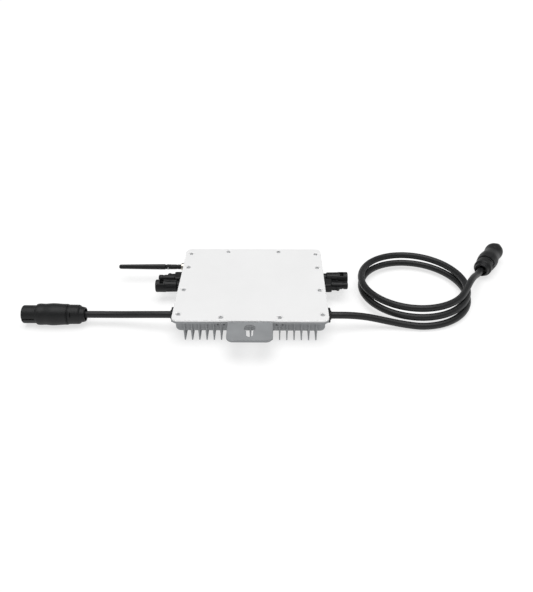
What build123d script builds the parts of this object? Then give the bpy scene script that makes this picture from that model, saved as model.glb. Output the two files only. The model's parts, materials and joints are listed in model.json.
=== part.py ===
from build123d import *
import math
import os

os.makedirs("parts", exist_ok=True)

# Microinverter with two DC input pairs and two AC trunk leads.
# Millimetres, +Z up, +X to the right, the mounting ear points to -Y.
# The origin is the middle of the plane that the cooling fins' tips stand on.

# ---- enclosure -------------------------------------------------------------
body_x = 230.0            # lid and flange, left to right
body_y = 212.0            # lid and flange, front to back
corner_r = 10.0           # corners of lid and flange
lid_t = 2.2               # lid sheet
flange_t = 3.9            # flange that the lid closes on
wall_h = 18.9             # side walls, from the base's underside to the flange
fin_h = 15.0              # fins below the base
floor_t = 3.0             # base plate
wall_t = 3.0              # side walls
side_inset = 4.6          # side wall's outer face, inside the lid's edge
front_inset = 6.8         # front and back wall's outer face, inside the lid's edge
wall_corner_r = 8.0       # upright corners of the wall
base_edge_r = 5.0         # rounded bottom edge of the wall
cavity_corner_r = 5.0

fin_count = 19
fin_outer_inset = 18.07    # outermost fin's middle, inside the lid's edge
fin_tip_w = 1.4
fin_root_w = 2.3
fin_corner_r = 3.0        # rounded lower front and back corners of each fin
rib_w = 2.5               # each fin goes on up the front and back wall as a rib
rib_proud = 2.2
flange_edge_r = 0.5       # eased edges of the flange and the ear
front_boss_r = 4.2        # cast thickening outside each front and back lid screw
front_boss_h = 9.0
front_pocket_out = 4.6     # cored pockets in the front wall, on both sides of each boss
front_pocket_w = 2.0
front_pocket_h = 5.5
front_pocket_depth = 1.5
front_pocket_drop = 1.5    # below the flange

lid_edge_r = 0.6
gasket_inset = 3.4        # gasket's middle line, inside the lid's edge
gasket_w = 2.2
gasket_t = 1.6

# ---- lid screws ------------------------------------------------------------
screw_side_inset = 9.1    # corner and side screws, from the side edge
screw_corner_inset = 16.5 # corner screws, from the front or back edge
screw_side_ys = (-23.5, 44.5)
screw_front_x = 43.0
screw_front_inset = 9.0   # front and back screws, from the front or back edge
screw_thread_r = 1.5
screw_core_r = 1.25       # tapped hole
screw_len = 6.5           # thread below the head
screw_head_r = 3.0
screw_head_t = 1.2
dish_top_r = 5.0          # dished recess in the lid
dish_floor_r = 3.3
dish_depth = 1.4
lid_hole_r = 1.7
boss_r = 3.6
boss_h = 8.0

# ---- mounting ear ----------------------------------------------------------
ear_w = 65.5
ear_reach = 43.5          # beyond the lid's front edge
ear_corner_r = 10.0
key_hole_r = 8.3
key_hole_out = 15.0       # hole's centre, beyond the lid's front edge
key_slot_r = 5.0
key_slot_out = 30.2       # centre of the slot's round end, beyond the front edge

# ---- side entries ----------------------------------------------------------
entry_z = 25.0            # axis of every connector, gland and the antenna
pad_proud = 2.1           # flat pad on the wall round each group of entries
relief_x = 15.0           # channel in the floor along each side wall, for the nuts
relief_depth = 1.6
nut_clear = 0.05          # radial, nut bore to shank
hole_clear = 0.1          # radial, wall hole to shank

dc_left_sleeve_y = 10.2
dc_left_nose_y = 33.0
dc_right_nose_y = 13.0
dc_right_sleeve_y = 35.5
dc_flange_r = 8.8
dc_flange_t = 3.0
dc_shank_r = 5.0
dc_shank_len = 13.0
dc_nut_corner_r = 8.0
dc_nut_t = 4.5
seal_r = 7.4
seal_t = 1.0
sleeve_len = 43.0         # pad face to the tip of the sleeve type
sleeve_r = 10.2
sleeve_bore_r = 6.3
sleeve_bore_depth = 28.0
tip_ring_len = 7.0
window_len = 6.0
window_w = 12.0
pin_r = 2.0
pin_short = 7.0           # pin tip, inside the sleeve's mouth
contact_clear = 0.03
nose_len = 41.5           # pad face to the tip of the nose type
nose_r = 6.0
nose_body_len = 15.0
nose_body_w = 22.6
nose_body_h = 15.0
socket_r = 2.6
latch_short = 13.5        # latch tip, short of the nose's tip
latch_y = 9.2             # latch's middle, from the nose axis
latch_t = 1.8
latch_h = 6.0
latch_root_r = 1.3
latch_root_clear = 0.05
latch_root_back = 0.6     # pivot, behind the body's front face
latch_hook = 1.6

# ---- antenna ---------------------------------------------------------------
antenna_y = 70.0
sma_thread_r = 3.2
sma_thread_len = 16.0
sma_hex_r = 5.2
sma_hex_t = 2.5
sma_nut_r = 6.5
sma_nut_t = 9.0
antenna_base_r = 4.1
antenna_base_gap = 0.4    # base, clear of the nut
hinge_out = 31.5          # hinge axis, beyond the pad face
fork_slot = 3.5
tongue_clear = 0.15
cheek_r = 4.2
hinge_pin_r = 1.2
hinge_clear = 0.05
whip_root_r = 4.6
whip_tip_r = 3.7
whip_gap = 4.6            # whip's full section starts this far from the hinge
whip_len = 83.5           # hinge axis to the whip's tip

# ---- AC leads --------------------------------------------------------------
ac_y = -70.0
gland_sq = 17.6           # rounded square flange
gland_sq_r = 2.5
gland_out = 7.0           # its outer face, beyond the pad
gland_collar_wall = 1.6   # collar round the cable
gland_collar_len = 1.2
gland_shank_wall = 1.2    # shank round the cable
gland_shank_len = 12.5
gland_seal_wall = 1.4     # seal round the shank
gland_nut_wall = 2.0      # nut's corners, outside the shank
gland_nut_t = 4.0
cable_r = 5.4
cable_clear = 0.05        # radial, cable in gland and connector
cable_in = 8.5            # a lead's inner end, inside the pad's face

coil_x = 264.1            # middle of the coil
coil_y = 18.0             # middle of its lowest turn
coil_lean = 7.8           # each turn lies this much further back
coil_rise = 10.95         # and this much higher
coil_rx = 85.3            # middle line of the cable, left to right
coil_ry = 88.5            # and front to back
coil_end_turn = 65.0      # degrees past two whole turns
coil_skin = 0.1           # the coil's outer shape, outside the cable

left_plug_rear_x = -253.0
left_plug_y = -59.2
right_plug_rear = (388.1, 74.6)
plug_r = 17.0             # widest part of both AC connectors
back_nut_len = 25.7       # back nut of both AC connectors
left_plug_len = 95.0
left_nose_r = 13.8
left_nose_len = 21.0
left_mouth_r = 11.8       # the mouth is a cone
left_mouth_len = 9.0
right_plug_len = 98.0
right_nose_r = 8.2
right_mouth_r = 5.8
plug_heading = math.degrees(math.atan2(0.845, 0.535))
plug_cable_in = 15.0      # cable inside the left connector
socket_circle = 5.0       # the left connector's three sockets
plug_socket_r = 1.6
pin_circle = 3.1          # the right connector's three pins
plug_pin_r = 1.1

# ---- inside ----------------------------------------------------------------
board_side_gap = 15.4     # board, clear of the side walls
board_front_gap = 8.2
board_t = 1.6
standoff_h = 4.0
standoff_r = 3.5
standoff_xs = (-84.0, 0.0, 84.0)
standoff_ys = (-80.0, 80.0)
device_t = 2.3            # power transistors under the board
terminal_len = 9.0        # wire terminals along the board's side edges
terminal_w = 12.0
terminal_h = 6.0
dc_wire_r = 1.5
ac_wire_r = 1.3
radio_x = 66.0
radio_size = 22.0

# ---- worked out from the above ---------------------------------------------
z_base = fin_h
z_floor = z_base + floor_t
z_flange = z_base + wall_h
z_seat = z_flange + flange_t
z_top = z_seat + lid_t
half_x = body_x / 2
half_y = body_y / 2
wall_x = half_x - side_inset
wall_y = half_y - front_inset
cavity_x = wall_x - wall_t
cavity_y = wall_y - wall_t
pad_x = wall_x + pad_proud
fin_pitch = 2 * (half_x - fin_outer_inset) / (fin_count - 1)
screw_corner_y = half_y - screw_corner_inset
board_x = 2 * (cavity_x - board_side_gap)
board_y = 2 * (cavity_y - board_front_gap)
gland_collar_r = cable_r + gland_collar_wall
gland_shank_r = cable_r + gland_shank_wall
gland_nut_corner_r = gland_shank_r + gland_nut_wall
board_z = z_floor + standoff_h
board_top = board_z + board_t
plug_z = plug_r
dc_shank_x = pad_x - dc_shank_len + 1
floor_z = cable_r         # middle of a cable that lies on the ground

lid_screw_places = (
    [(sx * (half_x - screw_side_inset), sy * screw_corner_y) for sx in (-1, 1) for sy in (-1, 1)]
    + [(sx * (half_x - screw_side_inset), y) for sx in (-1, 1) for y in screw_side_ys]
    + [(sx * screw_front_x, sy * (half_y - screw_front_inset)) for sx in (-1, 1) for sy in (-1, 1)]
)
standoff_places = [(x, y) for x in standoff_xs for y in standoff_ys]

left_lead_route = [
    (-104.0, ac_y, entry_z),
    (-130.0, ac_y, entry_z),
    (-163.0, -65.4, 21.6),
    (-200.0, -60.5, 17.8),
    (-238.0, left_plug_y, plug_z),
    (left_plug_rear_x - plug_cable_in, left_plug_y, plug_z),
]
right_lead_route = [
    (104.0, ac_y, entry_z),
    (128.0, ac_y, entry_z),
    (153.0, -67.4, 23.0),
    (178.0, -64.9, 18.2),
    (205.0, -65.8, 12.0),
    (235.0, -68.9, 7.0),
    (coil_x, coil_y - coil_ry, floor_z),
]
coil_turns = 2 + coil_end_turn / 360
coil_end_angle = math.radians(coil_end_turn - 90)
tail_route = [
    (coil_x + coil_rx * math.cos(coil_end_angle),
     coil_y + coil_lean * coil_turns + coil_ry * math.sin(coil_end_angle),
     floor_z + coil_rise * coil_turns),
    (353.3, 19.3, 30.3),
    (366.4, 41.2, 26.6),
    (380.3, 63.2, plug_z),
    (395.1, 85.6, plug_z),
]


# ---- helpers ---------------------------------------------------------------
def at(x, y, z):
    return Pos(x, y, z)


def rod(place, r, length):
    """A round bar that starts at the place and runs along its +Z."""
    return place * Cylinder(r, length, align=(Align.CENTER, Align.CENTER, Align.MIN))


def pipe(place, r_out, r_in, length):
    return rod(place, r_out, length) - rod(place * Pos(0, 0, -1), r_in, length + 2)


def block(x0, x1, y0, y1, z0, z1):
    return Pos((x0 + x1) / 2, (y0 + y1) / 2, (z0 + z1) / 2) * Box(x1 - x0, y1 - y0, z1 - z0)


def plate(x, y, r, z0, height):
    return extrude(Pos(0, 0, z0) * RectangleRounded(x, y, r), height)


def hex_bar(place, corner_radius, length, turn=0.0):
    return extrude(place * Rot(0, 0, turn) * RegularPolygon(corner_radius, 6), length)


def turned(points):
    """A solid of revolution about X from (x, radius) points."""
    face = make_face(Polyline([(x, r, 0) for x, r in points], close=True))
    return revolve(face, Axis.X)


def seat(side, y, z):
    """The place on the pad of the right or left side wall, its +X pointing away from the box."""
    return Pos(side * pad_x, y, z) * Rot(0, 0, 0 if side > 0 else 180)


def tube_path(points, name):
    """Straight runs joined by tangent arcs, each as large as its two runs allow."""
    places = [Vector(*p) for p in points]
    radii = []
    for before, here, after in zip(places, places[1:], places[2:]):
        turn = math.radians((here - before).get_angle(after - here))
        shorter = min((here - before).length, (after - here).length)
        radii.append(0.45 * shorter / math.tan(turn / 2))
    print(name, "radii", [round(r) for r in radii])
    return FilletPolyline(*points, radius=radii)


def cable(points, name):
    path = tube_path(points, name)
    section = Plane(path @ 0, z_dir=path % 0) * Circle(cable_r)
    solid = sweep(section, path)
    print(name, "length", round(path.length, 1), "volume ratio",
          round(solid.volume / (path.length * math.pi * cable_r ** 2), 4))
    return solid


def save(name, *solids):
    whole = solids[0] if len(solids) == 1 else Compound(children=list(solids))
    if len(solids) == 1 and not isinstance(whole, Solid):
        found = whole.solids()
        whole = found[0] if len(found) == 1 else Compound(children=found)
    whole.label = name
    export_step(whole, f"parts/{name}.step")


# ---- enclosure -------------------------------------------------------------
def fins():
    low = fin_tip_w / 2
    high = fin_root_w / 2
    top = z_base + base_edge_r
    section = Plane.XZ * Polygon((-low, 0), (low, 0), (high, top), (-high, top), align=None)
    bar = extrude(section, wall_y + rib_proud, both=True)
    rib = block(-rib_w / 2, rib_w / 2, -wall_y - rib_proud, wall_y + rib_proud, z_base, z_flange + 1)
    keep = Plane.YZ * Pos(0, z_seat / 2) * RectangleRounded(
        2 * (wall_y + rib_proud), z_seat, fin_corner_r)
    one = (bar + rib) & extrude(keep, fin_root_w, both=True)
    start = -(fin_count - 1) / 2 * fin_pitch
    return [Pos(start + n * fin_pitch, 0, 0) * one for n in range(fin_count)]


def mounting_ear():
    """The tongue in front of the flange, with its keyhole."""
    front = -half_y - ear_reach
    tongue = plate(ear_w, ear_reach + 2 * ear_corner_r, ear_corner_r, z_flange, flange_t)
    rims = tongue.edges().group_by(Axis.Z)
    tongue = fillet(rims[0] + rims[-1], flange_edge_r)
    tongue = at(0, front + ear_reach / 2 + ear_corner_r, 0) * tongue
    behind = block(-ear_w, ear_w, -half_y, front + ear_reach + 3 * ear_corner_r, z_flange - 1, z_seat + 1)
    return tongue - behind - keyhole()


def keyhole():
    hole = rod(at(0, -half_y - key_hole_out, z_flange - 1), key_hole_r, flange_t + 2)
    end = rod(at(0, -half_y - key_slot_out, z_flange - 1), key_slot_r, flange_t + 2)
    slot = block(-key_slot_r, key_slot_r, -half_y - key_slot_out, -half_y - key_hole_out,
                 z_flange - 1, z_seat + 1)
    return hole + end + slot


def entry_groups():
    """Side, middle and width of each pad on the side walls."""
    margin = dc_flange_r + 2
    half_gland = gland_sq / 2 + 2
    return [
        (-1, dc_left_sleeve_y - margin, dc_left_nose_y + margin),
        (1, dc_right_nose_y - margin, dc_right_sleeve_y + margin),
        (-1, ac_y - half_gland, ac_y + half_gland),
        (1, ac_y - half_gland, ac_y + half_gland),
        (-1, antenna_y - sma_nut_r - 2, antenna_y + sma_nut_r + 2),
    ]


def front_pockets():
    """Shallow cored pockets beside the two front screw bosses."""
    top = z_flange - front_pocket_drop
    cuts = []
    for x in (-screw_front_x, screw_front_x):
        for side in (-1, 1):
            middle = x + side * front_pocket_out
            cuts.append(block(middle - front_pocket_w / 2, middle + front_pocket_w / 2,
                              -wall_y - rib_proud - 1, -wall_y + front_pocket_depth,
                              top - front_pocket_h, top))
    return cuts


def heatsink_housing():
    wall = plate(2 * wall_x, 2 * wall_y, wall_corner_r, z_base, wall_h + flange_t)
    wall = fillet(wall.edges().group_by(Axis.Z)[0], base_edge_r)
    flange = plate(body_x, body_y, corner_r, z_flange, flange_t)
    flange = fillet(flange.edges().group_by(Axis.Z)[0], flange_edge_r)
    solid = wall + flange
    for side, y0, y1 in entry_groups():
        low, high = sorted((side * (cavity_x + 1), side * pad_x))
        solid += block(low, high, y0, y1, z_base + 1, z_flange + 1)
    for x in (-screw_front_x, screw_front_x):
        for way in (-1, 1):
            place = at(x, way * (half_y - screw_front_inset), z_flange - front_boss_h)
            solid += rod(place, front_boss_r, front_boss_h + 1)
    solid += fins()
    cavity = plate(2 * cavity_x, 2 * cavity_y, cavity_corner_r, z_floor, z_seat)
    solid -= cavity
    bosses = [rod(at(x, y, z_seat - boss_h), boss_r, boss_h) for x, y in lid_screw_places]
    posts = [rod(at(x, y, z_floor - 1), standoff_r, standoff_h + 1) for x, y in standoff_places]
    solid += bosses + posts
    for side in (-1, 1):
        low, high = sorted((side * (cavity_x - relief_x), side * cavity_x))
        solid -= block(low, high, ac_y - 10, antenna_y + 9, z_floor - relief_depth, z_floor + 1)
    cuts = [rod(at(x, y, z_seat - boss_h + 1), screw_core_r, boss_h) for x, y in lid_screw_places]
    cuts += [rod(at(x, y, z_floor - 1), screw_core_r, standoff_h + 2) for x, y in standoff_places]
    for side, y, shank, seal in entries():
        cuts.append(rod(seat(side, y, entry_z) * Rot(0, -90, 0), shank + hole_clear, wall_t + 6))
        if seal:
            cuts.append(rod(seat(side, y, entry_z) * Rot(0, -90, 0), seal + 0.05, seal_t))
    solid -= cuts
    solid -= front_pockets()
    groove = plate(body_x - 2 * gasket_inset + gasket_w, body_y - 2 * gasket_inset + gasket_w,
                   corner_r - gasket_inset + gasket_w / 2, z_seat - gasket_t, gasket_t + 1)
    groove -= plate(body_x - 2 * gasket_inset - gasket_w, body_y - 2 * gasket_inset - gasket_w,
                    corner_r - gasket_inset - gasket_w / 2, z_seat - gasket_t - 1, gasket_t + 3)
    return solid - groove


def entries():
    """Side, place, shank radius and seal radius of everything that goes through a side wall."""
    return [
        (-1, dc_left_sleeve_y, dc_shank_r, seal_r),
        (-1, dc_left_nose_y, dc_shank_r, seal_r),
        (1, dc_right_nose_y, dc_shank_r, seal_r),
        (1, dc_right_sleeve_y, dc_shank_r, seal_r),
        (-1, ac_y, gland_shank_r, gland_shank_r + gland_seal_wall),
        (1, ac_y, gland_shank_r, gland_shank_r + gland_seal_wall),
        (-1, antenna_y, sma_thread_r, None),
    ]


def lid():
    solid = plate(body_x, body_y, corner_r, z_seat, lid_t)
    solid = fillet(solid.edges().group_by(Axis.Z)[-1], lid_edge_r)
    for x, y in lid_screw_places:
        solid -= at(x, y, z_top - dish_depth / 2) * Cone(dish_floor_r, dish_top_r, dish_depth)
        solid -= rod(at(x, y, z_seat - 1), lid_hole_r, lid_t + 2)
    return solid


def lid_gasket():
    outer = plate(body_x - 2 * gasket_inset + gasket_w, body_y - 2 * gasket_inset + gasket_w,
                  corner_r - gasket_inset + gasket_w / 2, z_seat - gasket_t, gasket_t)
    inner = plate(body_x - 2 * gasket_inset - gasket_w, body_y - 2 * gasket_inset - gasket_w,
                  corner_r - gasket_inset - gasket_w / 2, z_seat - gasket_t - 1, gasket_t + 2)
    return outer - inner


def screw(x, y, z_under, thread_r, length, head_r, head_t):
    """A pan head screw whose head sits on z_under, with a six-lobe drive."""
    head = rod(at(x, y, z_under), head_r, head_t)
    head = fillet(head.edges().group_by(Axis.Z)[-1], head_t * 0.4)
    body = head + rod(at(x, y, z_under - length), thread_r, length)
    drive = [rod(at(x, y, z_under + head_t / 2) * Rot(0, 0, 60 * n) * Pos(head_r * 0.36, 0, 0),
                 head_r * 0.16, head_t) for n in range(6)]
    return body - drive - rod(at(x, y, z_under + head_t / 2), head_r * 0.34, head_t)


# ---- DC connectors ---------------------------------------------------------
def dc_shank(bore):
    """The body flange, and the threaded shank that goes through the wall."""
    solid = turned([(-dc_shank_len, bore), (-dc_shank_len, dc_shank_r), (0, dc_shank_r),
                    (0, dc_flange_r), (dc_flange_t, dc_flange_r), (dc_flange_t, bore)])
    return solid


def dc_sleeve():
    bore = pin_r + contact_clear
    floor_x = sleeve_len - sleeve_bore_depth
    ring_x = sleeve_len - tip_ring_len
    solid = dc_shank(bore) + turned([
        (dc_flange_t, bore), (dc_flange_t, 7.8), (8, 7.8), (9.5, sleeve_r - 0.7),
        (ring_x - 9, sleeve_r - 0.4), (ring_x - 8.5, sleeve_r), (sleeve_len - 0.8, sleeve_r),
        (sleeve_len, sleeve_r - 0.8), (sleeve_len, sleeve_bore_r), (floor_x, sleeve_bore_r),
        (floor_x, bore)])
    for side in (-1, 1):
        low, high = sorted((side * (sleeve_bore_r - 1), side * (sleeve_r + 1)))
        solid -= block(ring_x - window_len, ring_x, -window_w / 2, window_w / 2, low, high)
    for n in range(12):
        groove = Rot(30 * n + 15, 0, 0) * block(11, ring_x - 11, -0.6, 0.6, sleeve_r - 1.2, sleeve_r + 1)
        solid -= groove
    return solid


def pin_contact():
    tip = sleeve_len - pin_short
    return turned([(-dc_shank_len + 1, 0), (-dc_shank_len + 1, pin_r), (tip - 1.5, pin_r),
                   (tip, pin_r * 0.45), (tip, 0)])


def latch_pivot(side):
    """Where a latch bends: its round root, in the body's front face."""
    return nose_body_len - latch_root_back, side * latch_y


def dc_nose():
    bore = socket_r + contact_clear
    body = extrude(Plane.YZ.offset(dc_flange_t) * RectangleRounded(nose_body_w, nose_body_h, 4),
                   nose_body_len - dc_flange_t)
    body -= rod(Rot(0, 90, 0), bore, nose_body_len + 1)
    nose = turned([(nose_body_len - 1, bore), (nose_body_len - 1, nose_r), (nose_len - 9, nose_r),
                   (nose_len - 9, nose_r - 0.7), (nose_len - 6.5, nose_r - 0.7),
                   (nose_len - 6.5, nose_r), (nose_len - 1, nose_r), (nose_len, nose_r - 1),
                   (nose_len, bore)])
    solid = dc_shank(bore) + body + nose
    for side in (-1, 1):
        x, y = latch_pivot(side)
        gap = latch_root_r + latch_root_clear
        solid -= rod(at(x, y, -nose_body_h), gap, 2 * nose_body_h)
    return solid


def dc_latch(side):
    """A sprung finger with a hook at its tip, on the front or back of the nose."""
    x, y = latch_pivot(side)
    tip = nose_len - latch_short
    t = latch_t / 2
    out = side
    face = make_face(Polyline([
        (x, y - out * t, 0), (tip - 1, y - out * t, 0), (tip, y, 0),
        (tip - 2.2, y + out * (t + latch_hook), 0),
        (tip - 5.0, y + out * (t + latch_hook), 0), (tip - 5.0, y + out * t, 0), (x, y + out * t, 0)],
        close=True))
    finger = extrude(Pos(0, 0, -latch_h / 2) * face, latch_h)
    if finger.volume < 0 or finger.bounding_box().min.Z < -latch_h / 2 - 0.01:
        finger = Pos(0, 0, latch_h) * finger
    return finger + rod(at(x, y, -latch_h / 2), latch_root_r, latch_h)


def socket_contact():
    tip = nose_len - 2.5
    return turned([(-dc_shank_len + 1, 1.6), (-dc_shank_len + 1, socket_r), (tip, socket_r), (tip, 2.05),
                   (tip - 24, 2.05), (tip - 24, 1.6)])


def panel_nut(corner_radius, shank_r, thickness, wall_gap):
    place = Pos(-(pad_x - cavity_x), 0, 0) * Rot(0, -90, 0)
    return hex_bar(place, corner_radius, thickness, 30) - rod(place, shank_r + wall_gap, thickness)


def panel_seal(inner, outer):
    place = Rot(0, -90, 0)
    return pipe(place, outer, inner, seal_t)


# ---- antenna ---------------------------------------------------------------
def sma_jack():
    inner = pad_x - cavity_x
    hexagon = hex_bar(Pos(-inner, 0, 0) * Rot(0, -90, 0), sma_hex_r, sma_hex_t)
    thread = rod(Pos(-inner - sma_hex_t, 0, 0) * Rot(0, 90, 0), sma_thread_r,
                 sma_thread_len + inner + sma_hex_t)
    tail = rod(Pos(-inner - sma_hex_t - 3, 0, 0) * Rot(0, 90, 0), 1.6, 4)
    return hexagon + thread + tail


def sma_nut():
    """A round nickel boss screwed on the jack, its outer rim bevelled."""
    rim = sma_nut_t - 0.6
    nut = turned([(0, 0), (0, sma_nut_r), (rim, sma_nut_r), (sma_nut_t, sma_nut_r - 0.6), (sma_nut_t, 0)])
    return nut - rod(Rot(0, 90, 0), sma_thread_r + nut_clear, sma_nut_t)


def antenna_base():
    start = sma_nut_t + antenna_base_gap
    slot_floor = hinge_out - cheek_r - 0.3
    barrel = turned([(start, 0), (start, antenna_base_r), (start + 6, antenna_base_r),
                     (start + 6.6, antenna_base_r - 0.5), (start + 7.4, antenna_base_r - 0.5),
                     (start + 8, antenna_base_r), (slot_floor, cheek_r), (hinge_out, cheek_r),
                     (hinge_out, 0)])
    slot = block(slot_floor, hinge_out + cheek_r + 1, -fork_slot / 2, fork_slot / 2, -6, 6)
    cheeks = rod(Pos(hinge_out, -cheek_r, 0) * Rot(-90, 0, 0), cheek_r, 2 * cheek_r)
    cheeks &= rod(Pos(hinge_out - 1, 0, 0) * Rot(0, 90, 0), cheek_r, cheek_r + 2)
    solid = (barrel - slot) + (cheeks - slot)
    solid -= rod(Pos(hinge_out, -cheek_r - 1, 0) * Rot(-90, 0, 0), hinge_pin_r, 2 * cheek_r + 2)
    return solid - rod(Rot(0, 90, 0), sma_thread_r + nut_clear, sma_thread_len + 0.5)


def antenna_hinge_pin():
    return rod(Pos(hinge_out, -cheek_r, 0) * Rot(-90, 0, 0), hinge_pin_r, 2 * cheek_r)


def antenna_whip():
    tongue_t = fork_slot - 2 * tongue_clear
    disc = rod(Pos(hinge_out, -tongue_t / 2, 0) * Rot(-90, 0, 0), cheek_r, tongue_t)
    bar = block(hinge_out, hinge_out + whip_gap + 1, -tongue_t / 2, tongue_t / 2,
                -cheek_r * 0.8, cheek_r * 0.8)
    end = hinge_out + whip_len
    whip = turned([(hinge_out + whip_gap, 0), (hinge_out + whip_gap, whip_root_r - 0.6),
                   (hinge_out + whip_gap + 0.6, whip_root_r), (hinge_out + whip_gap + 9, whip_root_r),
                   (end, whip_tip_r), (end, 0)])
    whip = fillet(whip.edges().group_by(Axis.X)[-1], whip_tip_r * 0.9)
    solid = disc + bar + whip
    return solid - rod(Pos(hinge_out, -cheek_r, 0) * Rot(-90, 0, 0), hinge_pin_r + hinge_clear, 2 * cheek_r)


# ---- AC leads --------------------------------------------------------------
def ac_gland():
    flange = extrude(Plane.YZ * RectangleRounded(gland_sq, gland_sq, gland_sq_r), gland_out)
    flange = fillet(flange.edges().group_by(Axis.X)[-1], 0.8)
    collar = rod(Pos(gland_out - 0.5, 0, 0) * Rot(0, 90, 0), gland_collar_r, gland_collar_len + 0.5)
    shank = rod(Pos(-gland_shank_len, 0, 0) * Rot(0, 90, 0), gland_shank_r, gland_shank_len + 1)
    bore = rod(Pos(-gland_shank_len - 1, 0, 0) * Rot(0, 90, 0), cable_r + cable_clear, 40)
    return flange + collar + shank - bore


def coil():
    """The outer shape of the leaning stack of turns."""
    lean = coil_lean / coil_rise
    top = floor_z + coil_turns * coil_rise + cable_r
    base_y = coil_y - lean * floor_z
    half = cable_r + coil_skin
    outer = Ellipse(coil_rx + half, coil_ry + half)
    ring = Pos(coil_x, base_y, 0) * (outer - Ellipse(coil_rx - half, coil_ry - half))
    height = Vector(0, lean * top, top)
    return extrude(ring, amount=height.length, dir=height.normalized())


def turned_wave(wave, rest):
    """A solid of revolution about X whose outer line is a smooth wave, closed by straight lines."""
    outer = Spline(*[(x, r, 0) for x, r in wave])
    closing = Polyline([(x, r, 0) for x, r in [wave[-1], *rest, wave[0]]])
    return revolve(make_face(outer.edges() + closing.edges()), Axis.X)


def plug_ring(wave_start):
    """The plain ring where a shell meets its back nut, down to the inner bore."""
    x, r = wave_start
    return [(back_nut_len + 0.3, 9.0), (back_nut_len + 0.3, 15.6), (x, 15.6)]


def plug_shell_female():
    """Left connector: a sleeve with a gentle wave and a keyed round nose, bored from the front."""
    end = left_plug_len
    nose = end - left_nose_len
    wave = [(27.5, 16.0), (34, 16.1), (41, 16.6), (48, plug_r), (55, 16.7), (62, 16.2), (68, 16.5),
            (nose - 1.5, 16.0)]
    rest = [(nose, left_nose_r + 0.6), (nose, left_nose_r), (end - 1, left_nose_r),
            (end, left_nose_r - 0.8), (end, left_mouth_r), (end - left_mouth_len, 9.0)]
    solid = turned_wave(wave, rest + plug_ring(wave[0]))
    for turn in (20, 90, 160, 270):
        solid -= Rot(turn, 0, 0) * block(nose + 1.5, end + 1, -1.3, 1.3, left_nose_r - 1.3, left_nose_r + 2)
    return solid


def plug_shell_male():
    """Right connector: a sleeve, a waist, a domed shoulder and a short nose."""
    end = right_plug_len
    wave = [(27.5, 16.0), (34, 16.6), (41, plug_r), (49, 16.2), (57, 14.9), (63, 14.2), (68, 14.6),
            (74, 15.5), (79, 15.6), (83.5, 14.4), (87, 11.2), (88.8, 8.8)]
    rest = [(90.2, right_nose_r - 0.5), (91.6, right_nose_r - 0.5), (92.6, right_nose_r),
            (end - 1.4, right_nose_r), (end, right_nose_r - 1.2), (end, right_mouth_r),
            (60, right_mouth_r), (60, 9.0)]
    solid = turned_wave(wave, rest + plug_ring(wave[0]))
    return solid


def contact_places(start, circle):
    """Three places round a connector's axis, their +Z along it."""
    angles = [math.radians(90 + 120 * n) for n in range(3)]
    return [Pos(start, circle * math.cos(a), circle * math.sin(a)) * Rot(0, 90, 0) for a in angles]


def plug_insert(start, end, radius, circle, contact_radius):
    solid = rod(Pos(start, 0, 0) * Rot(0, 90, 0), radius, end - start)
    for place in contact_places(start, circle):
        solid -= rod(place, contact_radius + contact_clear, end - start)
    return solid


def plug_pins(start, end, circle, radius):
    return [rod(place, radius, end - start) for place in contact_places(start, circle)]


def plug_sockets(start, end, circle, radius):
    """Round sockets, bored from their middle to the mouth."""
    bores = [rod(place * Pos(0, 0, (end - start) / 2), radius * 0.6, end - start)
             for place in contact_places(start, circle)]
    return [bar - bore for bar, bore in zip(plug_pins(start, end, circle, radius), bores)]


def plug_gland_nut():
    """The back nut: an open mouth round the cable, a cone, slits and a small tooth."""
    end = back_nut_len
    solid = turned([(0, 9.2), (0, 10.5), (1.0, 11.1), (6.6, 12.4), (7.6, 13.6), (8.6, 14.4), (9.6, 14.8),
                    (23.8, 15.0), (24.6, 14.5), (end, 14.5), (end, 10.2), (8, 10.2), (8, 8.6), (6, 8.6)])
    for n in range(4):
        solid -= Rot(30 + 90 * n, 0, 0) * block(19, 20.6, -3.6, 3.6, 13.2, 16)
    tooth = extrude(Plane.XZ * Polygon((12, 14), (end, 14), (end, plug_r - 0.3), (22, plug_r - 0.1),
                                       align=None), 1.6, both=True)
    return solid + Rot(75, 0, 0) * tooth


def plug_seal():
    """The rubber seal that grips the cable inside the back nut."""
    return turned([(8.2, cable_r + cable_clear), (8.2, 8.4), (8.2, 10.0), (22, 10.0),
                   (22, cable_r + cable_clear)])


def plug_places():
    left = Pos(left_plug_rear_x, left_plug_y, plug_z) * Rot(0, 0, 180)
    right = Pos(right_plug_rear[0], right_plug_rear[1], plug_z) * Rot(0, 0, plug_heading)
    return left, right


# ---- inside ----------------------------------------------------------------
def main_board():
    board = plate(board_x, board_y, 3, board_z, board_t)
    return board - [rod(at(x, y, board_z - 1), screw_thread_r + 0.1, 4) for x, y in standoff_places]


def on_board(x, y, size_x, size_y, height, lift=0.0):
    low = board_top + lift
    return block(x - size_x / 2, x + size_x / 2, y - size_y / 2, y + size_y / 2, low, low + height)


transformer_places = ((-42, 22), (42, 22))
device_places = [(x, y) for x in (-66, -22, 22, 66) for y in (-6, 52)]
capacitor_places = [(x, y) for x in (-70, 70) for y in (-24, -8, 8, 24)]


def transformer_core(x, y):
    """A flat ferrite core pair with two windows for the winding."""
    solid = on_board(x, y, 34, 26, 13)
    return solid - on_board(x - 8.5, y, 7, 30, 8, 2.5) - on_board(x + 8.5, y, 7, 30, 8, 2.5)


def transformer_winding(x, y):
    ring = on_board(x, y, 23.6, 34, 7.4, 2.8) - on_board(x, y, 10.4, 26.6, 9, 2)
    return ring


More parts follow.
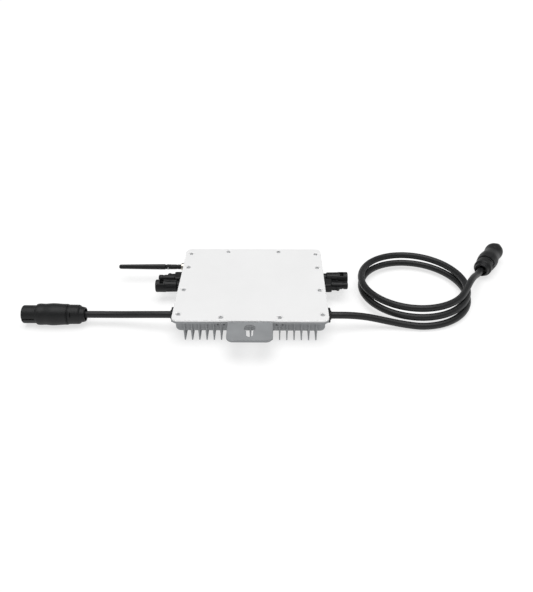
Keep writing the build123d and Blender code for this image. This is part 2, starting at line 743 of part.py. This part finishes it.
def choke_winding(x, y):
    """Turns of thick wire round a toroid."""
    turns = []
    for n in range(14):
        angle = 360 / 14 * n
        place = Pos(x, y, board_top + 6.5) * Rot(0, 0, angle) * Pos(11.5, 0, 0)
        loop = place * Box(10.2, 1.8, 13.0) - place * Box(7.2, 3, 10.0)
        turns.append(loop)
    return turns


def entry_wire(side, start_x, y, r):
    """From a contact or a cable's end to the terminal at the board's edge."""
    low, high = sorted((side * board_x / 2, side * start_x))
    return rod(at(low, y, entry_z) * Rot(0, 90, 0), r, high - low)


def terminal_block(side, y):
    low, high = sorted((side * board_x / 2, side * (board_x / 2 - terminal_len)))
    return block(low, high, y - terminal_w / 2, y + terminal_w / 2, board_top, board_top + terminal_h)


def capacitor(x, y):
    can = rod(at(x, y, board_top), 6.2, 13.2)
    return fillet(can.edges().group_by(Axis.Z)[-1], 0.8)


# ---- build every node ------------------------------------------------------
save("mounting_ear", mounting_ear())
save("heatsink_housing", heatsink_housing())
save("lid", lid())
save("lid_gasket", lid_gasket())
save("lid_screws", *[screw(x, y, z_top - dish_depth, screw_thread_r - 0.25, screw_len, screw_head_r,
                           screw_head_t) for x, y in lid_screw_places])

dc_layout = {
    "left_sleeve": (-1, dc_left_sleeve_y),
    "left_nose": (-1, dc_left_nose_y),
    "right_nose": (1, dc_right_nose_y),
    "right_sleeve": (1, dc_right_sleeve_y),
}
for name, (side, y) in dc_layout.items():
    place = seat(side, y, entry_z)
    save("dc_" + name, place * (dc_sleeve() if "sleeve" in name else dc_nose()))
    if "nose" in name:
        for word, way in (("front", -1), ("back", 1)):
            save(f"dc_{name[:-5]}_latch_{word}", place * dc_latch(way * side))
places = {name: seat(side, y, entry_z) for name, (side, y) in dc_layout.items()}
save("dc_pin_contacts", *[places[n] * pin_contact() for n in places if "sleeve" in n])
save("dc_socket_contacts", *[places[n] * socket_contact() for n in places if "nose" in n])
save("dc_panel_nuts", *[p * panel_nut(dc_nut_corner_r, dc_shank_r, dc_nut_t, nut_clear)
                        for p in places.values()])
save("dc_panel_seals", *[p * panel_seal(dc_shank_r + nut_clear, seal_r) for p in places.values()])

antenna_place = seat(-1, antenna_y, entry_z)
save("sma_jack", antenna_place * sma_jack())
save("sma_nut", antenna_place * sma_nut())
save("antenna_base", antenna_place * antenna_base())
save("antenna_hinge_pin", antenna_place * antenna_hinge_pin())
save("antenna_whip", antenna_place * antenna_whip())

gland_places = {"left": seat(-1, ac_y, entry_z), "right": seat(1, ac_y, entry_z)}
for word, place in gland_places.items():
    save(f"ac_gland_{word}", place * ac_gland())
save("ac_gland_nuts", *[p * panel_nut(gland_nut_corner_r, gland_shank_r, gland_nut_t, nut_clear)
                        for p in gland_places.values()])
save("ac_gland_seals", *[p * panel_seal(gland_shank_r + nut_clear, gland_shank_r + gland_seal_wall)
                         for p in gland_places.values()])
save("ac_left_lead", cable(left_lead_route, "left lead"))
save("ac_right_lead", cable(right_lead_route, "right lead"))
save("ac_right_coil", coil())
save("ac_right_tail", cable(tail_route, "right tail"))

left_plug, right_plug = plug_places()
save("ac_left_plug_shell", left_plug * plug_shell_female())
left_insert = plug_insert(40, left_plug_len - 14, 8.9, socket_circle, plug_socket_r)
save("ac_left_plug_insert", left_plug * left_insert)
left_sockets = plug_sockets(34, left_plug_len - 16, socket_circle, plug_socket_r)
save("ac_left_plug_sockets", *[left_plug * socket for socket in left_sockets])
save("ac_left_plug_nut", left_plug * plug_gland_nut())
save("ac_left_plug_seal", left_plug * plug_seal())
save("ac_right_plug_shell", right_plug * plug_shell_male())
right_insert = plug_insert(64, right_plug_len - 8, right_mouth_r - 0.1, pin_circle, plug_pin_r)
save("ac_right_plug_insert", right_plug * right_insert)
right_pins = plug_pins(56, right_plug_len - 1.5, pin_circle, plug_pin_r)
save("ac_right_plug_pins", *[right_plug * pin for pin in right_pins])
save("ac_right_plug_nut", right_plug * plug_gland_nut())
save("ac_right_plug_seal", right_plug * plug_seal())

save("main_board", main_board())
save("board_screws", *[screw(x, y, board_top, screw_core_r, 4.2, 2.7, 1.8) for x, y in standoff_places])
save("power_transistors", *[block(x - 5, x + 5, y - 7, y + 7, board_z - device_t, board_z)
                            for x, y in device_places])
save("thermal_pads", *[block(x - 6, x + 6, y - 8, y + 8, z_floor, board_z - device_t)
                       for x, y in device_places])
save("transformer_cores", *[transformer_core(x, y) for x, y in transformer_places])
save("transformer_windings", *[transformer_winding(x, y) for x, y in transformer_places])
save("input_capacitors", *[capacitor(x, y) for x, y in capacitor_places])
save("output_choke_core", pipe(at(0, -52, board_top + 1.7), 15, 8, 9.6))
save("output_choke_winding", *choke_winding(0, -52))
save("film_capacitors", *[on_board(x, -52, 26, 12, 12) for x in (-42, 42)])
save("grid_relays", *[on_board(x, -74, 28, 12, 13) for x in (-50, 50)])
save("control_module", on_board(0, 40, 30, 22, 1.6, 3) + on_board(0, 31, 24, 2.4, 3)
     + on_board(0, 49, 24, 2.4, 3))
save("radio_module", on_board(-radio_x, antenna_y, radio_size, 16, 3))
pigtail_x = cavity_x - sma_hex_t - 3
save("antenna_pigtail", rod(at(-pigtail_x, antenna_y, entry_z) * Rot(0, 90, 0), 0.9,
                            pigtail_x - radio_x - radio_size / 2))
save("dc_wires", *[entry_wire(side, dc_shank_x, y, dc_wire_r) for side, y in dc_layout.values()])
save("ac_wires", *[entry_wire(side, pad_x - cable_in, ac_y + 3.1 * n, ac_wire_r)
                   for side in (-1, 1) for n in (-1, 0, 1)])
save("terminal_blocks", *[terminal_block(side, y) for side, y in dc_layout.values()],
     *[terminal_block(side, ac_y) for side in (-1, 1)])
print("top", z_top, "nodes", len(os.listdir("parts")))
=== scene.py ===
# %% [markdown]
# # A finned microinverter with its cable leads
# The object is a flat die-cast box with a white lid, a keyhole ear, plug-in DC
# connectors on both sides, a small hinged antenna and two round trunk leads.
# Its hard pieces come ready made as a frame of named parts. This lesson gives
# them their real finishes, lays the two flexible leads, and lights the result.

# %% Load the frame
import bpy, json, math
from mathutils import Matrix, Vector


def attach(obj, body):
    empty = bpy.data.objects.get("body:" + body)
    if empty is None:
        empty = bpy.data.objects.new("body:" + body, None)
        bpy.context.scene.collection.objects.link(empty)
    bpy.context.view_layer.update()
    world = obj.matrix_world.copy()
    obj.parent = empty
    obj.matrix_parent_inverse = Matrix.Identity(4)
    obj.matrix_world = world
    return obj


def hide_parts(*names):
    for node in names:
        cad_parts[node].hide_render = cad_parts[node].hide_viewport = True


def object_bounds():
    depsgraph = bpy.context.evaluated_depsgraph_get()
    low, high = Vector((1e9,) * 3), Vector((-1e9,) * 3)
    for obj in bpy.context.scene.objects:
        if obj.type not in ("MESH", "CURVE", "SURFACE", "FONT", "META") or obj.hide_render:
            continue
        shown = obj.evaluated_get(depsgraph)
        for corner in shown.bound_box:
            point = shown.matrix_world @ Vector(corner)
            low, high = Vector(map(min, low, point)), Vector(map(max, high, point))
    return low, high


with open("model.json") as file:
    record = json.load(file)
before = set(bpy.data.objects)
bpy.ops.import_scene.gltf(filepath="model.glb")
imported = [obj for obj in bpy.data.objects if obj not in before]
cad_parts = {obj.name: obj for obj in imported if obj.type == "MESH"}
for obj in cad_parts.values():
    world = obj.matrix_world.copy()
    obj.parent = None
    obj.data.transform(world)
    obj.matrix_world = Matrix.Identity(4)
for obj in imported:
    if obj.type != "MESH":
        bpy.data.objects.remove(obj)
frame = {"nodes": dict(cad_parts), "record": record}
cad_low, cad_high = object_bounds()
MM = 0.001
print("frame", len(frame["nodes"]), "pieces, from", cad_low, "to", cad_high)

# %% [markdown]
# ## The camera
# The object is seen from in front and well above, through a slightly wide lens.
# A wide lens close by makes the near edge of the lid clearly longer than the far
# one. The camera comes before everything else, because the leads have to lie
# where it sees them.

# %% Camera
scene = bpy.context.scene
LENS_MM, SENSOR_MM = 37.3, 36.0
CAMERA_X, CAMERA_Y, CAMERA_Z = 28.6, -824.2, 558.5
LOOKS_DOWN, TURNED_LEFT = 33.51, 0.39
camera_data = bpy.data.cameras.new("camera")
camera_data.lens = LENS_MM
camera_data.sensor_width = SENSOR_MM
camera_data.clip_start = 0.01
camera = bpy.data.objects.new("camera", camera_data)
camera.location = (CAMERA_X * MM, CAMERA_Y * MM, CAMERA_Z * MM)
camera.rotation_euler = (math.radians(90 - LOOKS_DOWN), 0, math.radians(TURNED_LEFT))
scene.collection.objects.link(camera)
scene.camera = camera
print("camera", tuple(round(v, 3) for v in camera.location))

# %% [markdown]
# ## The leads' routes
# A trunk lead is about 10.8 mm thick and stiff. It comes straight out of its
# gland, sinks to the ground in a long easy curve, and keeps its own thickness
# where turns lie on each other. The left lead is short and goes straight into
# its connector. The right one makes a little over two leaning turns, each one a
# cable's thickness higher and a little further back, and then runs off to its
# connector. One NURBS spline per lead keeps the whole line smooth: it is given
# the few points where a hand would hold the cable, and for the turns a loop adds
# sixteen points to each turn.

# %% Lead sizes and routes
CABLE_R = 5.4
GLAND_Z = 25.0
PLUG_Z = 17.0
GROUND_Z = CABLE_R

left_route = [
    (-104.0, -70.0, GLAND_Z),
    (-130.0, -70.0, GLAND_Z),
    (-163.0, -65.4, 21.6),
    (-200.0, -60.5, 17.8),
    (-238.0, -59.2, PLUG_Z),
    (-268.0, -59.2, PLUG_Z),
]
right_start = [
    (104.0, -70.0, GLAND_Z),
    (128.0, -70.0, GLAND_Z),
    (153.0, -67.4, 23.0),
    (178.0, -64.9, 18.2),
    (205.0, -65.8, 12.0),
    (235.0, -68.9, 7.0),
]
right_end = [
    (341.4, -2.4, 29.3),
    (353.3, 19.3, 30.3),
    (366.4, 41.2, 26.6),
    (380.3, 63.2, PLUG_Z),
    (395.1, 85.6, PLUG_Z),
]

COIL_X, COIL_Y = 264.1, 18.0
COIL_RX, COIL_RY = 85.3, 88.5
COIL_LEAN, COIL_RISE = 7.8, 10.95
COIL_TURNS = 2 + 65 / 360
COIL_FIRST_POINT_OUT = 1.02
POINTS_PER_TURN = 16
SPLINE_ORDER = 3


def coil_points():
    """Control points of the turns. They stand a little outside the wanted circle,
    because a quadratic spline passes inside its control points."""
    step = 2 * math.pi / POINTS_PER_TURN
    outside = 1 / (0.75 + 0.25 * math.cos(step))
    points = []
    for n in range(1, int(COIL_TURNS * POINTS_PER_TURN) + 1):
        turns = n / POINTS_PER_TURN
        angle = -math.pi / 2 + 2 * math.pi * turns
        points.append((
            COIL_X + COIL_RX * outside * math.cos(angle),
            COIL_Y + COIL_LEAN * turns + COIL_RY * outside * math.sin(angle),
            GROUND_Z + COIL_RISE * turns,
        ))
    return points


coil_first = (COIL_X, COIL_Y - COIL_RY * COIL_FIRST_POINT_OUT, GROUND_Z)
right_route = right_start + [coil_first] + coil_points() + right_end
print("right lead has", len(right_route), "control points")

# %% [markdown]
# ## Making a lead
# A curve object with a round bevel is the natural way to make a cable: it has a
# centreline, a thickness and nothing else to keep in step. The spline's order is
# set after its points are added, or it stays at straight runs. The thickness sits
# in each point's radius, with a bevel of one metre to multiply it: a curve's box
# is measured with its points' radii, so the box then comes out right as well.

# %% Lead maker
def make_lead(name, route):
    curve = bpy.data.curves.new(name, "CURVE")
    curve.dimensions = "3D"
    curve.resolution_u = 8
    curve.bevel_depth = 1.0
    curve.bevel_resolution = 9
    curve.use_fill_caps = True
    spline = curve.splines.new("NURBS")
    spline.points.add(len(route) - 1)
    for point, place in zip(spline.points, route):
        point.co = (place[0] * MM, place[1] * MM, place[2] * MM, 1.0)
        point.radius = CABLE_R * MM
    spline.order_u = SPLINE_ORDER
    spline.use_endpoint_u = True
    lead = bpy.data.objects.new(name, curve)
    scene.collection.objects.link(lead)
    return lead


def length_of(lead):
    """The length of the lead's own line, read from the curve without its thickness."""
    depth = lead.data.bevel_depth
    caps = lead.data.use_fill_caps
    lead.data.bevel_depth = 0
    lead.data.use_fill_caps = False
    line = bpy.data.meshes.new_from_object(lead)
    lead.data.bevel_depth = depth
    lead.data.use_fill_caps = caps
    total = sum((line.vertices[e.vertices[0]].co - line.vertices[e.vertices[1]].co).length
                for e in line.edges)
    bpy.data.meshes.remove(line)
    return total


left_lead = make_lead("left_trunk_lead", left_route)
right_lead = make_lead("right_trunk_lead", right_route)
for lead in (left_lead, right_lead):
    print(lead.name, round(length_of(lead), 3), "m")


for lead, nodes in ((left_lead, ["ac_left_lead"]),
                    (right_lead, ["ac_right_lead", "ac_right_coil", "ac_right_tail"])):
    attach(lead, "box")
    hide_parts(*nodes)

# %% [markdown]
# ## Tools for the finishes
# Every finish is a small network of nodes. Three helpers are enough: one turns a
# hex colour as a designer writes it (sRGB) into the linear numbers that the
# renderer adds up, one adds any node with its settings and its links, and one
# makes the empty material that every finish starts from.

# %% Colour and node helpers
def linear(hex_colour):
    out = []
    for i in (0, 2, 4):
        value = int(hex_colour.lstrip("#")[i:i + 2], 16) / 255
        out.append(value / 12.92 if value <= 0.04045 else ((value + 0.055) / 1.055) ** 2.4)
    return (*out, 1.0)


def add(tree, kind, settings=None, links=None):
    """Adds a node. Settings name its properties or its inputs, links its inputs."""
    made = tree.nodes.new("ShaderNode" + kind)
    for name, value in (settings or {}).items():
        if isinstance(name, str) and hasattr(made, name):
            setattr(made, name, value)
        else:
            made.inputs[name].default_value = value
    for name, socket in (links or {}).items():
        tree.links.new(socket, made.inputs[name])
    return made


def blank(name):
    """A material with nothing in it but a Principled shader and its output."""
    material = bpy.data.materials.new(name)
    material.use_nodes = True
    tree = material.node_tree
    tree.nodes.clear()
    shader = add(tree, "BsdfPrincipled")
    add(tree, "OutputMaterial", None, {"Surface": shader.outputs["BSDF"]})
    return material, tree, shader


# %% [markdown]
# ## A general surface
# Most moulded and cast surfaces need the same three things at different sizes:
# slow cloudy changes of colour, a fine grain that the light catches, and edges
# that are a little rounder and lighter than the faces between them. Real edges
# are never razor sharp. The Bevel node rounds them for the light only, and where
# its direction differs from the face's own there is an edge. There the colour is
# painted paler: partly the polish that handling gives a surface, partly a painted
# highlight for the light that rounded edges catch. Each finish then states its
# own sizes in millimetres.

# %% Surface builder
CLOUD_DARK_AT, CLOUD_LIGHT_AT = 0.3, 0.7
EDGE_BEGINS, EDGE_FULL = 0.995, 0.8
EDGE_PALER, EDGE_LIFT = 1.6, 0.05
GRAIN_STRENGTH = 0.6
COAT_ROUGHNESS = 0.2


def surface(name, hex_colour, metallic, roughness, cloud_mm, cloud, grain_mm, grain_depth_mm,
            edge_mm=0.4, edge_wear_and_highlight=0.25, coat=0.0, rough_spread=0.08, specular=0.5):
    material, tree, shader = blank(name)
    place = add(tree, "TexCoord").outputs["Object"]
    clouds = add(tree, "TexNoise", {"Scale": 1000 / cloud_mm, "Detail": 3.0, "Roughness": 0.55},
                 {"Vector": place})
    base = linear(hex_colour)
    dark = tuple(c * (1 - cloud) for c in base[:3]) + (1,)
    light = tuple(min(1, c * (1 + cloud)) for c in base[:3]) + (1,)
    ramp = add(tree, "ValToRGB", None, {"Fac": clouds.outputs["Fac"]})
    ramp.color_ramp.elements[0].position = CLOUD_DARK_AT
    ramp.color_ramp.elements[0].color = dark
    ramp.color_ramp.elements[1].position = CLOUD_LIGHT_AT
    ramp.color_ramp.elements[1].color = light
    rounded = add(tree, "Bevel", {"samples": 4, "Radius": edge_mm * MM})
    face = add(tree, "NewGeometry").outputs["Normal"]
    same = add(tree, "VectorMath", {"operation": "DOT_PRODUCT"},
               {0: rounded.outputs["Normal"], 1: face})
    # Edges get a paler colour: partly handling wear, partly a painted highlight for the light that
    # rounded edges catch.
    edge = add(tree, "MapRange",
               {"From Min": EDGE_BEGINS, "From Max": EDGE_FULL, "To Min": 0.0, "To Max": edge_wear_and_highlight},
               {"Value": same.outputs["Value"]})
    worn_and_highlit_edge_colour = tuple(min(1, c * EDGE_PALER + EDGE_LIFT) for c in base[:3]) + (1,)
    colour = add(tree, "Mix", {"data_type": "RGBA"}, {0: edge.outputs["Result"]})
    tree.links.new(ramp.outputs["Color"], colour.inputs[6])
    colour.inputs[7].default_value = worn_and_highlit_edge_colour
    grain = add(tree, "TexNoise", {"Scale": 1000 / grain_mm, "Detail": 2.0}, {"Vector": place})
    bump = add(tree, "Bump", {"Strength": GRAIN_STRENGTH, "Distance": grain_depth_mm * MM},
               {"Height": grain.outputs["Fac"], "Normal": rounded.outputs["Normal"]})
    rough = add(tree, "MapRange",
                {"To Min": roughness - rough_spread, "To Max": roughness + rough_spread},
                {"Value": clouds.outputs["Fac"]})
    tree.links.new(colour.outputs[2], shader.inputs["Base Color"])
    tree.links.new(rough.outputs["Result"], shader.inputs["Roughness"])
    tree.links.new(bump.outputs["Normal"], shader.inputs["Normal"])
    shader.inputs["Metallic"].default_value = metallic
    shader.inputs["Specular IOR Level"].default_value = specular
    if coat:
        shader.inputs["Coat Weight"].default_value = coat
        shader.inputs["Coat Roughness"].default_value = COAT_ROUGHNESS
    return material


finishes = {}

# %% [markdown]
# ## Die-cast aluminium
# The box is pressure die-cast aluminium, shot-blasted and given a thin clear
# conversion coat. Blasting leaves a fine pebbled skin, about half a millimetre
# from pit to pit, that spreads reflections into a soft grey sheen. The alloy
# flows unevenly into the mould, so the grey drifts in patches a few centimetres
# wide. The coat is matt and hides most of the metal, so very little of the
# surface answers as bare metal.

# %% Die-cast aluminium
finishes["die_cast_aluminium"] = surface(
    "shot_blasted_die_cast_aluminium", "#929496", 0.05, 0.62, cloud_mm=30, cloud=0.07,
    grain_mm=0.6, grain_depth_mm=0.06, edge_mm=0.5, edge_wear_and_highlight=0.1, specular=0.2)

# %% [markdown]
# ## Powder coat
# The lid is aluminium sheet with a baked polyester powder coat. Powder melts and
# flows, but not to a perfect level: it keeps a shallow orange peel, here 1.6 mm
# from crest to crest. The gloss is satin, and the colour is very even.

# %% White powder coat
finishes["white_powder_coat"] = surface(
    "white_polyester_powder_coat", "#f1f1f1", 0.0, 0.42, cloud_mm=60, cloud=0.012,
    grain_mm=1.6, grain_depth_mm=0.02, edge_mm=0.5, edge_wear_and_highlight=0.1, rough_spread=0.04)

# %% [markdown]
# ## Moulded blacks
# The panel connectors are PPO, moulded in a spark-eroded tool, so they are a
# satin black with a fine even grain. The trunk connectors and glands are
# glass-filled nylon (PA66), a little greyer and rougher because the fibres come
# to the surface. The antenna wears a smoother thermoplastic skin.

# %% Plastics and rubber
finishes["black_ppo"] = surface(
    "moulded_black_ppo", "#101112", 0.0, 0.45, cloud_mm=12, cloud=0.12,
    grain_mm=0.35, grain_depth_mm=0.03, edge_mm=0.35, edge_wear_and_highlight=0.04, specular=0.3)
finishes["black_nylon"] = surface(
    "moulded_glass_filled_nylon", "#151617", 0.0, 0.5, cloud_mm=14, cloud=0.12,
    grain_mm=0.45, grain_depth_mm=0.04, edge_mm=0.4, edge_wear_and_highlight=0.04, specular=0.3)
finishes["grey_nylon"] = surface(
    "moulded_grey_nylon", "#4a4b4d", 0.0, 0.5, cloud_mm=10, cloud=0.08,
    grain_mm=0.4, grain_depth_mm=0.03, edge_mm=0.25, edge_wear_and_highlight=0.1)
finishes["antenna_black"] = surface(
    "moulded_tpe_skin", "#101112", 0.0, 0.4, cloud_mm=10, cloud=0.1,
    grain_mm=0.5, grain_depth_mm=0.015, edge_mm=0.3, edge_wear_and_highlight=0.04, specular=0.3)
finishes["silicone_rubber"] = surface(
    "moulded_silicone_rubber", "#202122", 0.0, 0.6, cloud_mm=8, cloud=0.1,
    grain_mm=0.3, grain_depth_mm=0.02, edge_mm=0.2, edge_wear_and_highlight=0.05)

# %% [markdown]
# ## Plated and bare metals
# The screws are stainless steel with a turned look, the antenna's coupling is
# nickel over brass, slightly yellow, and the contacts are tin-plated copper.

# %% Small metals
finishes["stainless_steel"] = surface(
    "turned_stainless_steel", "#c4c5c6", 0.7, 0.45, cloud_mm=3, cloud=0.1,
    grain_mm=0.3, grain_depth_mm=0.01, edge_mm=0.15, edge_wear_and_highlight=0.3)
finishes["nickel_plated_brass"] = surface(
    "nickel_plated_brass", "#c3beb4", 1.0, 0.26, cloud_mm=4, cloud=0.06,
    grain_mm=0.4, grain_depth_mm=0.006, edge_mm=0.2, edge_wear_and_highlight=0.25)
finishes["tinned_copper"] = surface(
    "tin_plated_copper", "#c6c5c1", 1.0, 0.32, cloud_mm=3, cloud=0.08,
    grain_mm=0.3, grain_depth_mm=0.006, edge_mm=0.15, edge_wear_and_highlight=0.2)
finishes["tinned_can"] = surface(
    "tinned_steel_can", "#bfc0c0", 1.0, 0.3, cloud_mm=5, cloud=0.08,
    grain_mm=0.5, grain_depth_mm=0.01, edge_mm=0.2, edge_wear_and_highlight=0.2)
finishes["enamelled_copper"] = surface(
    "enamelled_copper_wire", "#b0602c", 0.9, 0.28, cloud_mm=5, cloud=0.12,
    grain_mm=0.5, grain_depth_mm=0.01, edge_mm=0.2, edge_wear_and_highlight=0.15, coat=0.5)

# %% [markdown]
# ## The trunk cable's jacket
# The jacket is extruded thermoplastic rubber. Extrusion drags the melt along the
# die, which leaves very fine streaks along the cable, and handling leaves a
# faint dusty bloom. The streaks follow the cable, so they need coordinates that
# run with it: the curve's own UV has U along its length and V round it.

# %% Cable jacket
STREAKS_ALONG, STREAKS_ROUND = 40.0, 90.0
BLOOM_MM, JACKET_GRAIN_MM, JACKET_RELIEF_MM = 25.0, 0.5, 0.04
BLOOM_DARK, BLOOM_LIGHT = 0.88, 1.2
JACKET_SMOOTHEST, JACKET_ROUGHEST = 0.38, 0.52
JACKET_SPECULAR = 0.35


def extruded_jacket(name, hex_colour):
    material, tree, shader = blank(name)
    coords = add(tree, "TexCoord")
    stretched = add(tree, "Mapping", {"Scale": (STREAKS_ALONG, STREAKS_ROUND, 1.0)},
                    {"Vector": coords.outputs["UV"]})
    streaks = add(tree, "TexNoise", {"Scale": 1.0, "Detail": 2.0},
                  {"Vector": stretched.outputs["Vector"]})
    bloom = add(tree, "TexNoise", {"Scale": 1000 / BLOOM_MM, "Detail": 3.0},
                {"Vector": coords.outputs["Object"]})
    grain = add(tree, "TexNoise", {"Scale": 1000 / JACKET_GRAIN_MM, "Detail": 1.0},
                {"Vector": coords.outputs["Object"]})
    base = linear(hex_colour)
    ramp = add(tree, "ValToRGB", None, {"Fac": bloom.outputs["Fac"]})
    ramp.color_ramp.elements[0].position = 0.35
    ramp.color_ramp.elements[0].color = tuple(c * BLOOM_DARK for c in base[:3]) + (1,)
    ramp.color_ramp.elements[1].position = 0.7
    ramp.color_ramp.elements[1].color = tuple(c * BLOOM_LIGHT for c in base[:3]) + (1,)
    both = add(tree, "Math", {"operation": "ADD"},
               {0: streaks.outputs["Fac"], 1: grain.outputs["Fac"]})
    bump = add(tree, "Bump", {"Strength": 0.4, "Distance": JACKET_RELIEF_MM * MM},
               {"Height": both.outputs["Value"]})
    rough = add(tree, "MapRange", {"To Min": JACKET_SMOOTHEST, "To Max": JACKET_ROUGHEST},
                {"Value": bloom.outputs["Fac"]})
    tree.links.new(ramp.outputs["Color"], shader.inputs["Base Color"])
    tree.links.new(rough.outputs["Result"], shader.inputs["Roughness"])
    tree.links.new(bump.outputs["Normal"], shader.inputs["Normal"])
    shader.inputs["Specular IOR Level"].default_value = JACKET_SPECULAR
    return material


finishes["cable_jacket"] = extruded_jacket("extruded_tpe_jacket", "#191a1b")
for lead in (left_lead, right_lead):
    lead.data.materials.append(finishes["cable_jacket"])

# %% [markdown]
# ## What is inside
# The board and its parts are closed in under the lid, but someone may take the
# lid off. They get the ordinary finishes of electronics: green solder mask,
# black epoxy, dark ground ferrite, yellow polyester tape, shrink sleeve.

# %% Finishes inside the box
inside = {
    "circuit_board": ("green_solder_mask", "#1d6b3c", 0.35, 6, 0.10),
    "black_epoxy": ("moulded_black_epoxy", "#26272a", 0.5, 5, 0.08),
    "thermal_pad": ("silicone_thermal_pad", "#8d98a8", 0.7, 3, 0.06),
    "ferrite": ("ground_ferrite", "#3b3c3f", 0.55, 4, 0.12),
    "winding_tape": ("polyester_tape", "#d8bf3a", 0.3, 6, 0.06),
    "capacitor_sleeve": ("shrink_sleeve", "#1f2a4a", 0.3, 6, 0.08),
    "film_box": ("epoxy_filled_box", "#9b3a2e", 0.4, 5, 0.06),
    "wire_black": ("black_wire_insulation", "#202122", 0.45, 5, 0.08),
    "wire_red": ("red_wire_insulation", "#a3201f", 0.45, 5, 0.08),
    "terminal_green": ("moulded_green_terminal", "#2f7f55", 0.45, 5, 0.06),
}
for slot_name, (name, hex_colour, roughness, cloud_mm, cloud) in inside.items():
    finishes[slot_name] = surface(name, hex_colour, 0.0, roughness, cloud_mm=cloud_mm, cloud=cloud,
                                  grain_mm=0.4, grain_depth_mm=0.01, edge_mm=0.2, edge_wear_and_highlight=0.1)

# %% Give every piece its finish
for row in frame["record"]["subparts"]:
    node = frame["nodes"][row["node"]]
    finish = finishes[row["material_slot"]]
    if not node.material_slots:
        node.data.materials.append(finish)
    for material_slot in node.material_slots:
        material_slot.material = finish

# %% [markdown]
# ## Floor and light
# A product like this is often shown on a lit table: a translucent white sheet
# that glows by itself and also catches the light from above. The glow keeps the
# floor light even in the gaps between the fins. The light itself comes from
# straight above, through a soft wide source. A face that looks up then gets all
# of it, and an upright face gets only what the table sends back, about half. The
# room is white low down, where it meets the table, and dim higher up.

# %% Floor
FLOOR_M, FLOOR_DROP_M = 16.0, 0.0002
GLOW, CATCHES = 0.68, 0.36
half = FLOOR_M / 2
floor_mesh = bpy.data.meshes.new("floor")
corners = [(-half, -half, 0), (half, -half, 0), (half, half, 0), (-half, half, 0)]
floor_mesh.from_pydata(corners, [], [(0, 1, 2, 3)])
floor = bpy.data.objects.new("floor", floor_mesh)
floor.location.z = cad_low[2] - FLOOR_DROP_M
scene.collection.objects.link(floor)
table, table_tree, table_shader = blank("lit_white_table")
table_shader.inputs["Base Color"].default_value = (CATCHES, CATCHES, CATCHES, 1.0)
table_shader.inputs["Roughness"].default_value = 1.0
table_shader.inputs["Specular IOR Level"].default_value = 0.0
table_shader.inputs["Emission Color"].default_value = linear("#ffffff")
table_shader.inputs["Emission Strength"].default_value = GLOW
floor_mesh.materials.append(table)

# %% Lights
ROOM_FALLS_FROM, ROOM_FALLS_TO = 0.08, 0.5
ROOM_LOW, ROOM_HIGH = 0.9, 0.12
OVERHEAD_POWER, OVERHEAD_WIDTH = 2.6, 60.0
world = bpy.data.worlds.new("studio")
world.use_nodes = True
sky = world.node_tree
sky.nodes["Background"].inputs["Color"].default_value = linear("#ffffff")
direction = add(sky, "TexCoord").outputs["Generated"]
height = add(sky, "SeparateXYZ", None, {"Vector": direction}).outputs["Z"]
falling = add(sky, "MapRange",
              {"From Min": ROOM_FALLS_FROM, "From Max": ROOM_FALLS_TO,
               "To Min": ROOM_LOW, "To Max": ROOM_HIGH},
              {"Value": height})
sky.links.new(falling.outputs["Result"], sky.nodes["Background"].inputs["Strength"])
scene.world = world

overhead = bpy.data.lights.new("overhead", "SUN")
overhead.energy = OVERHEAD_POWER
overhead.angle = math.radians(OVERHEAD_WIDTH)
overhead_lamp = bpy.data.objects.new("overhead", overhead)
overhead_lamp.location = (0, 0, 2)
scene.collection.objects.link(overhead_lamp)
scene.view_settings.view_transform = "Standard"
scene.view_settings.look = "None"
